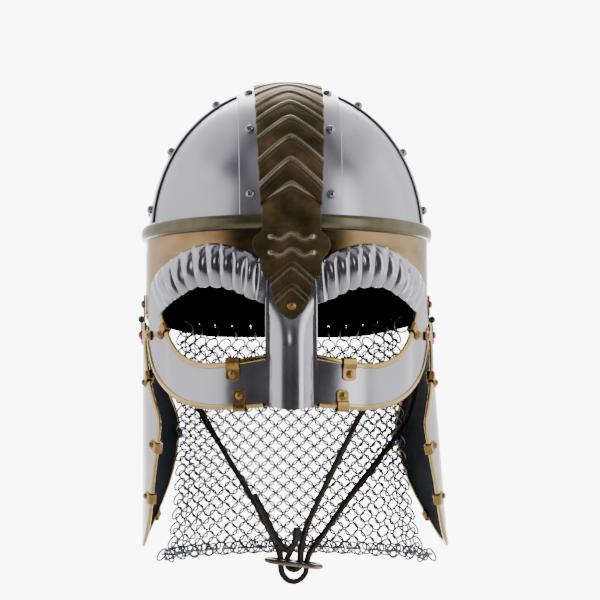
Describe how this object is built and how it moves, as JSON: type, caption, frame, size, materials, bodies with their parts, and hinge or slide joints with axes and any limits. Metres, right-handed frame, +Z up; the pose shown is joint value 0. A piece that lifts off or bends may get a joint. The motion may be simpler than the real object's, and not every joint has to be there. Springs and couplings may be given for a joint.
{
  "type": "viking spectacle helmet",
  "caption": "Riveted steel dome helmet with a brass brow band, fluted spectacle guard, bronze crest, hinged cheek plates, a mail neck guard and a leather chin lace.",
  "frame": {"origin": "inside of the crown's top, where the helmet sits on a head", "axes": "+Z up, the face looks along -Y, +X to the wearer's left"},
  "size_m": [0.2275, 0.2551, 0.3673],
  "materials": {
    "satin_steel": "satin polished sheet steel, black paint inside the bowl",
    "aged_brass": "brushed brown brass",
    "brass": "polished brass strip and rivets",
    "aged_bronze": "dark patinated bronze, cast relief",
    "mail": "bright butted steel rings",
    "pin_steel": "plain steel pin",
    "dark_leather": "very dark brown rough leather lace"
  },
  "bodies": {
    "helmet": {"crown_panel_front_left": "satin_steel", "crown_panel_front_right": "satin_steel", "crown_panel_rear_left": "satin_steel", "crown_panel_rear_right": "satin_steel", "ridge_band": "satin_steel", "side_band_left": "satin_steel", "side_band_right": "satin_steel", "brow_band": "aged_brass", "eye_guard": "satin_steel", "eye_edging_left": "brass", "jaw_edging_left": "brass", "eye_clip_inner_left": "brass", "eye_clip_outer_left": "brass", "jaw_clip_inner_left": "brass", "jaw_clip_outer_left": "brass", "eye_edging_right": "brass", "jaw_edging_right": "brass", "eye_clip_inner_right": "brass", "eye_clip_outer_right": "brass", "jaw_clip_inner_right": "brass", "jaw_clip_outer_right": "brass", "crest": "aged_bronze", "crest_rivet": "brass", "hinge_upper_left": "brass", "hinge_pin_left": "pin_steel", "hinge_upper_right": "brass", "hinge_pin_right": "pin_steel", "aventail": "mail", "chin_slide": "satin_steel", "lace_long": "dark_leather", "lace_short": "dark_leather", "lace_tail": "dark_leather"},
    "cheek_left": {"cheek_plate_left": "satin_steel", "cheek_edging_left": "brass", "cheek_clip_front_1_left": "brass", "cheek_clip_front_2_left": "brass", "cheek_clip_front_3_left": "brass", "cheek_clip_rear_1_left": "brass", "cheek_clip_rear_2_left": "brass", "hinge_lower_left": "brass"},
    "cheek_right": {"cheek_plate_right": "satin_steel", "cheek_edging_right": "brass", "cheek_clip_front_1_right": "brass", "cheek_clip_front_2_right": "brass", "cheek_clip_front_3_right": "brass", "cheek_clip_rear_1_right": "brass", "cheek_clip_rear_2_right": "brass", "hinge_lower_right": "brass"}
  },
  "joints": [
    {"name": "cheek_left_hinge", "type": "hinge", "parent": "helmet", "child": "cheek_left", "pos_m": [0.1063, 0, -0.169], "axis": [0, -1, 0], "range_deg": [0, 70]},
    {"name": "cheek_right_hinge", "type": "hinge", "parent": "helmet", "child": "cheek_right", "pos_m": [-0.1063, 0, -0.169], "axis": [0, 1, 0], "range_deg": [0, 70]}
  ]
}
